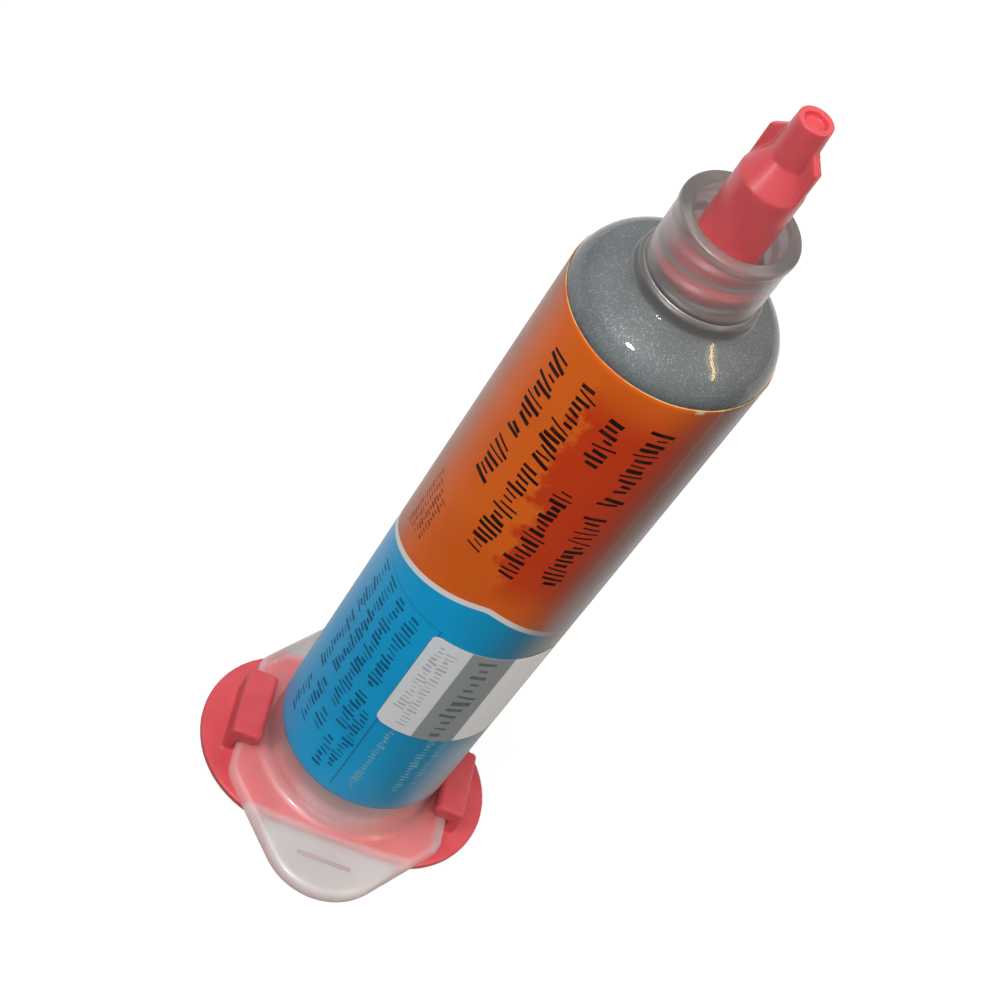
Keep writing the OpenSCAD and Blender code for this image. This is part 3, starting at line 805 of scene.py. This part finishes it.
# %% Print marks
def print_marks(name, words, ink_finish, spacing, width, height, seed, radius=LABEL_R):
    """words are (angle in degrees, top z, bottom z) in mm, one stretch of strokes each."""
    mesh = bpy.data.meshes.new(name)
    points, lines = [], []
    for turned, high, low in words:
        across = math.radians(turned) * radius * mm
        lines.append((len(points), len(points) + 1))
        points += [(high * mm, across, 0), (low * mm, across, 0)]
    mesh.from_pydata(points, lines, [])
    maker = bpy.data.objects.new(name + "_guides", mesh)
    bpy.context.scene.collection.objects.link(maker)
    modifier = maker.modifiers.new("strokes", "NODES")
    modifier.node_group = strokes
    values = {"Spacing": spacing * mm, "Stroke Width": width * mm, "Stroke Height": height * mm,
              "Barrel Radius": radius * mm, "Seed": seed, "Ink": ink_finish}
    for item in strokes.interface.items_tree:
        if item.item_type == "SOCKET" and item.in_out == "INPUT" and item.name in values:
            modifier[item.identifier] = values[item.name]
    bpy.context.view_layer.update()
    evaluated = maker.evaluated_get(bpy.context.evaluated_depsgraph_get())
    solid = bpy.data.meshes.new_from_object(evaluated)
    solid.name = name
    maker.modifiers.remove(modifier)
    bpy.data.objects.remove(maker)
    piece = finish_piece(name, solid, ink_finish, "syringe")


headline = [(14, 72.3, 64.5), (14, 63.2, 62.6), (14, 60.4, 50.6),
            (-8.5, 71.6, 66.4), (-8.5, 62.0, 49.8),
            (-29.5, 72.8, 63.2), (-29.5, 61.8, 50.2),
            (-50.5, 72.6, 65.0), (-50.5, 63.6, 63.0), (-50.5, 61.2, 56.6)]
print_marks("headline_marks", headline, black_ink,
            spacing=0.7, width=0.33, height=2.2, seed=4)
small = [(a, 50.8 - k * 0.3, 43.2 + k * 0.4) for k, a in enumerate((-77.5, -72.2, -66.8, -61.5))]
print_marks("small_marks", small, brown_ink,
            spacing=0.5, width=0.2, height=0.7, seed=9)
rows = [(-70.5, 37.6, 30.2), (-70.5, 28.6, 20.2), (-70.5, 17.0, 12.0),
        (-58.0, 37.8, 22.6), (-58.0, 19.8, 13.4), (-45.5, 37.6, 19.6), (-45.5, 17.4, 15.0),
        (-33.0, 37.4, 26.2), (-33.0, 24.2, 18.4), (-33.0, 15.6, 11.0), (-24.5, 22.4, 12.4)]
print_marks("blue_field_marks", rows, dark_ink,
            spacing=0.66, width=0.3, height=1.5, seed=14)
faint = [(-6.5, 22.6, 11.0), (18.5, 22.6, 12.6), (27.5, 22.6, 14.0)]
print_marks("pale_marks", faint, pale_ink,
            spacing=0.55, width=0.26, height=0.9, seed=21)
print_marks("sticker_faint_marks", [(-11.5, 37.0, 26.4), (-5.2, 36.6, 24.2)], grey_ink,
            spacing=0.62, width=0.26, height=1.1, seed=31, radius=STICKER_R)
print_marks("sticker_band_marks", [(16.5, 37.0, 24.0)], band_ink,
            spacing=1.15, width=0.5, height=1.9, seed=37, radius=STICKER_R)

# %% [markdown]
# The two coral caps come out of a mould with every edge a little round. Rounding each edge by
# hand would be slow, so a copy of the CAD mesh is turned into a fine even net and then
# relaxed a few times: flat faces stay flat, and corners melt by about a fifth of a millimetre.

# %% Coral caps
def melt_edges(name, node_name, net, relax, finish, body):
    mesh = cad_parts[node_name].data.copy()
    build = bmesh.new()
    build.from_mesh(mesh)
    bmesh.ops.remove_doubles(build, verts=build.verts, dist=1e-6)
    build.to_mesh(mesh)
    build.free()
    maker = bpy.data.objects.new(name + "_maker", mesh)
    bpy.context.scene.collection.objects.link(maker)
    fine = maker.modifiers.new("net", "REMESH")
    fine.mode, fine.voxel_size, fine.adaptivity = "VOXEL", net * mm, 0.0
    soft = maker.modifiers.new("relax", "SMOOTH")
    soft.factor, soft.iterations = 0.5, relax
    bpy.context.view_layer.update()
    evaluated = maker.evaluated_get(bpy.context.evaluated_depsgraph_get())
    solid = bpy.data.meshes.new_from_object(evaluated)
    solid.name = name
    bpy.data.objects.remove(maker)
    piece = finish_piece(name, solid, finish, body, sharp=None)
    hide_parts(node_name)
    return piece


soft_end_cap = melt_edges("soft_end_cap", "end_cap", net=0.17, relax=6, finish=coral,
                          body="end_cap")
soft_tip_cap = melt_edges("soft_tip_cap", "tip_cap", net=0.11, relax=4, finish=coral,
                          body="tip_cap")

# %% [markdown]
# The sticker and the piston keep their CAD meshes and get the finish of their material.

# %% Carried-over pieces
for node_name, finish in (("sticker", sticker_finish), ("piston", piston_finish)):
    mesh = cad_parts[node_name].data
    mesh.materials.clear()
    mesh.materials.append(finish)
    print(node_name, "wears", finish.name)

# %% [markdown]
# A plain pale floor lies under the end cap. It glows for the camera, so it reads as white paper
# and still keeps the shadow, and far off it is a little whiter so that no horizon shows. Rays
# that come through clear plastic see it darker, and darkest in a painted shadow, a strip just
# behind the object, and mirrored rays see its glow only behind the object. The sky is white for
# the camera, half as bright for mirrored and see-through rays, and gives only a little light.

# %% Floor and sky
FLOOR_REACH, FLOOR_Z = 3, -0.0003
FLOOR_GREY = 0.17
SEEN_NEAR, SEEN_FAR_MORE = 0.88, 0.13
THROUGH_FAR, THROUGH_PAINTED_SHADOW, THROUGH_NEAR_CHANGE = 0.55, -0.28, 0.24
MIRRORED = 0.85
SKY_LIGHT, SKY_SEEN, SKY_OTHER = 0.06, 0.96, 0.48

corners = [(-1, -1), (1, -1), (1, 1), (-1, 1)]
floor_mesh = bpy.data.meshes.new("floor")
floor_mesh.from_pydata([(x * FLOOR_REACH, y * FLOOR_REACH, FLOOR_Z) for x, y in corners],
                       [], [(0, 1, 2, 3)])
floor = bpy.data.objects.new("floor", floor_mesh)
bpy.context.scene.collection.objects.link(floor)

floor_finish, tree, shader, place = new_finish("pale_floor")
path = add(tree, "ShaderNodeLightPath")
x = add(tree, "ShaderNodeSeparateXYZ", {}, {0: place}).outputs[0]
away = add(tree, "ShaderNodeVectorMath", {"operation": "LENGTH"}, {0: place}).outputs["Value"]
shown = plus(tree, SEEN_NEAR, times(tree, rise(tree, away, 0.2, 0.9), SEEN_FAR_MORE))
# See-through rays find a painted shadow in a strip just behind the object.
below = plus(tree, THROUGH_FAR, times(tree, rise(tree, x, -0.045, -0.035), THROUGH_PAINTED_SHADOW))
below = plus(tree, below, times(tree, rise(tree, x, -0.009, -0.004), THROUGH_NEAR_CHANGE))
seen = plus(tree, times(tree, path.outputs["Is Camera Ray"], shown),
            times(tree, path.outputs["Is Transmission Ray"], below))
behind = rest_of(tree, rise(tree, x, -0.05, 0.03))
only_mirror = calc(tree, "SUBTRACT", path.outputs["Is Glossy Ray"],
                   path.outputs["Is Transmission Ray"])
seen = calc(tree, "MAXIMUM", seen, times(tree, only_mirror, behind, MIRRORED))
shader.inputs["Base Color"].default_value = (FLOOR_GREY, FLOOR_GREY, FLOOR_GREY, 1)
shader.inputs["Roughness"].default_value = 0.9
shader.inputs["Specular IOR Level"].default_value = 0.0
shader.inputs["Emission Color"].default_value = (1, 1, 1, 1)
tree.links.new(seen, shader.inputs["Emission Strength"])
floor_mesh.materials.append(floor_finish)

world = bpy.data.worlds.new("studio")
bpy.context.scene.world = world
world.use_nodes = True
tree = world.node_tree
path = add(tree, "ShaderNodeLightPath")
other = calc(tree, "MAXIMUM", path.outputs["Is Glossy Ray"], path.outputs["Is Transmission Ray"])
seen = plus(tree, times(tree, path.outputs["Is Camera Ray"], SKY_SEEN),
            times(tree, other, SKY_OTHER))
tree.links.new(plus(tree, seen, SKY_LIGHT), tree.nodes["Background"].inputs["Strength"])
tree.nodes["Background"].inputs["Color"].default_value = (1, 1, 1, 1)
print("floor and sky:", floor_finish.name, world.name)

# %% [markdown]
# Four broad lamps light the object: the key makes the shadow, the cool window is on the
# camera's left, the fill on its right, and the back lamp keeps the far side readable. None of
# the four shows in a glossy surface. The glints have lamps of their own: a small flash, a warm
# tube with a wider glow round it, and a narrow strip that lights only the two caps.

# %% Lamps
def lamp(name, start, end, wide, power, colour=(1, 1, 1), mirrored=True, through=True,
         matt=True, only=None):
    """A flat lamp from start to end, that wide, which faces the object. No end makes a disk."""
    data = bpy.data.lights.new(name, "AREA")
    disk = end is None
    start, end = Vector(start), Vector(end or start)
    data.shape = "DISK" if disk else "RECTANGLE"
    data.size = wide if disk else (end - start).length
    if not disk:
        data.size_y = wide
    data.energy, data.color = power, colour
    made = bpy.data.objects.new(name, data)
    bpy.context.scene.collection.objects.link(made)
    middle = (start + end) / 2
    back = (middle - Vector((0, 0, 0.06))).normalized()
    along = back.orthogonal().normalized() if disk else (end - start).normalized()
    along = (along - back * along.dot(back)).normalized()
    turn = Matrix((along, back.cross(along), back)).transposed()
    made.matrix_world = Matrix.Translation(middle) @ turn.to_4x4()
    made.visible_glossy = mirrored
    made.visible_transmission = through
    made.visible_diffuse = matt
    if only:
        lit = bpy.data.collections.new(name + "_lights_only")
        for piece in only:
            lit.objects.link(piece)
        made.light_linking.receiver_collection = lit


WARM_START, WARM_END = (-0.018, 0.208, 0.422), (0.169, 0.296, 0.308)
STRIP_LOW, STRIP_HIGH = (0.295, -0.331, 0.10), (0.295, -0.331, 0.23)

lamp("key", (0.17, -0.17, 0.50), None, wide=0.42, power=3.05, mirrored=False)
lamp("window", (0.09, -0.40, 0.33), None, wide=0.2, power=0.2, colour=(0.88, 0.94, 1.0),
     mirrored=False)
lamp("fill", (0.176, 0.251, 0.307), None, wide=0.3, power=0.46, mirrored=False, through=False)
lamp("back", (-0.33, 0.09, 0.34), None, wide=0.3, power=0.44, mirrored=False, through=False)
lamp("flash", (0.254, -0.184, 0.338), None, wide=0.064, power=0.6, matt=False)
lamp("warm_tube", WARM_START, WARM_END, wide=0.016, power=0.17, colour=(1.0, 0.7, 0.26))
lamp("warm_glow", WARM_START, WARM_END, wide=0.055, power=0.085, colour=(1.0, 0.84, 0.62))
lamp("cap_gloss", STRIP_LOW, STRIP_HIGH, wide=0.04, power=0.42, through=False, matt=False,
     only=(soft_tip_cap, soft_end_cap))
bpy.context.scene.view_settings.view_transform = "Standard"
